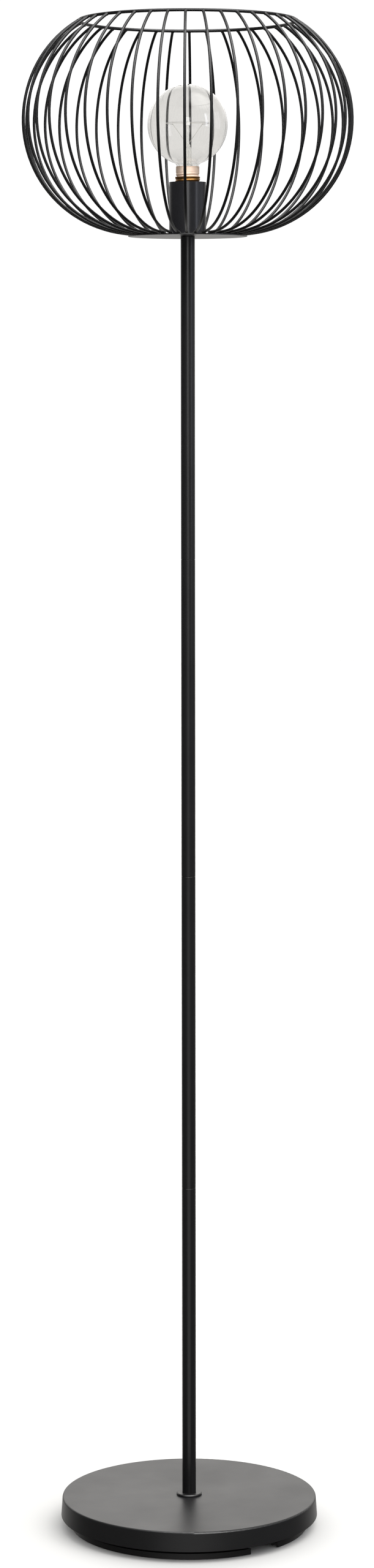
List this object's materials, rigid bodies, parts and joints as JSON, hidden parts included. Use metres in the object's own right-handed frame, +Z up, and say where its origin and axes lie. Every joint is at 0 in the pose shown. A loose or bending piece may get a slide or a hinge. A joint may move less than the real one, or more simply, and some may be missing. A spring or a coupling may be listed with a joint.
{
  "type": "wire cage floor lamp",
  "caption": "Floor lamp with a weighted round base, a slim tubular pole and an open bowl cage of arched wires round a clear globe bulb.",
  "frame": {"origin": "on the pole's axis at floor level", "axes": "+Z up along the pole, -Y towards the front, +X to the right seen from the front"},
  "size_m": [0.3724, 0.3724, 1.727],
  "materials": {
    "black_coated_steel": "satin black powder coat",
    "cast_iron": "as cast, dipped in thin grey paint",
    "black_moulded_plastic": "fine mould texture",
    "black_rubber": "matt",
    "plated_steel": "zinc plated",
    "black_phenolic": "semi-gloss moulding",
    "porcelain": "white glaze",
    "brass": "bright rolled",
    "copper_tinted_brass": "rolled, lightly tarnished",
    "black_glass": "fused glass",
    "tin_solder": "as flowed",
    "clear_glass": "polished",
    "basing_cement": "matt, brown",
    "tungsten": "drawn",
    "nickel_wire": "drawn"
  },
  "bodies": {
    "lamp": {"base_cover": "black_coated_steel", "base_weight": "cast_iron", "base_tray": "black_moulded_plastic", "foot_pads": "black_rubber", "cable_bushing": "black_rubber", "tray_screws": "plated_steel", "base_washer": "plated_steel", "base_lock_washer": "plated_steel", "base_nut": "plated_steel", "base_stud": "plated_steel", "base_collar": "black_coated_steel", "pole_section_1": "black_coated_steel", "pole_section_2": "black_coated_steel", "pole_section_3": "black_coated_steel", "pole_section_4": "black_coated_steel", "pole_lower_inserts": "plated_steel", "pole_upper_inserts": "plated_steel", "pole_joint_studs": "plated_steel", "cage_plate": "black_coated_steel", "cage_ring": "black_coated_steel", "cage_wires_01": "black_coated_steel", "cage_wires_02": "black_coated_steel", "cage_wires_03": "black_coated_steel", "cage_wires_04": "black_coated_steel", "cage_wires_05": "black_coated_steel", "cage_wires_06": "black_coated_steel", "cage_wires_07": "black_coated_steel", "cage_wires_08": "black_coated_steel", "cage_wires_09": "black_coated_steel", "cage_wires_10": "black_coated_steel", "holder_sleeve": "black_coated_steel", "holder_nut": "plated_steel", "holder_stud": "plated_steel", "holder_dome": "black_phenolic", "holder_insert": "porcelain", "holder_thread_shell": "brass", "holder_skirt": "black_phenolic", "holder_centre_contact": "brass", "holder_side_contact": "brass", "terminal_screws": "plated_steel"},
    "bulb": {"bulb_cap": "copper_tinted_brass", "bulb_insulator": "black_glass", "bulb_tip": "tin_solder", "bulb_glass": "clear_glass", "bulb_cement": "basing_cement", "bulb_stem": "clear_glass", "bulb_filament": "tungsten", "bulb_supports": "tungsten", "bulb_leads": "nickel_wire"}
  },
  "joints": [
    {"name": "bulb_lift", "type": "slide", "parent": "lamp", "child": "bulb", "axis": [0, 0, 1], "range_m": [0, 0.22]}
  ]
}
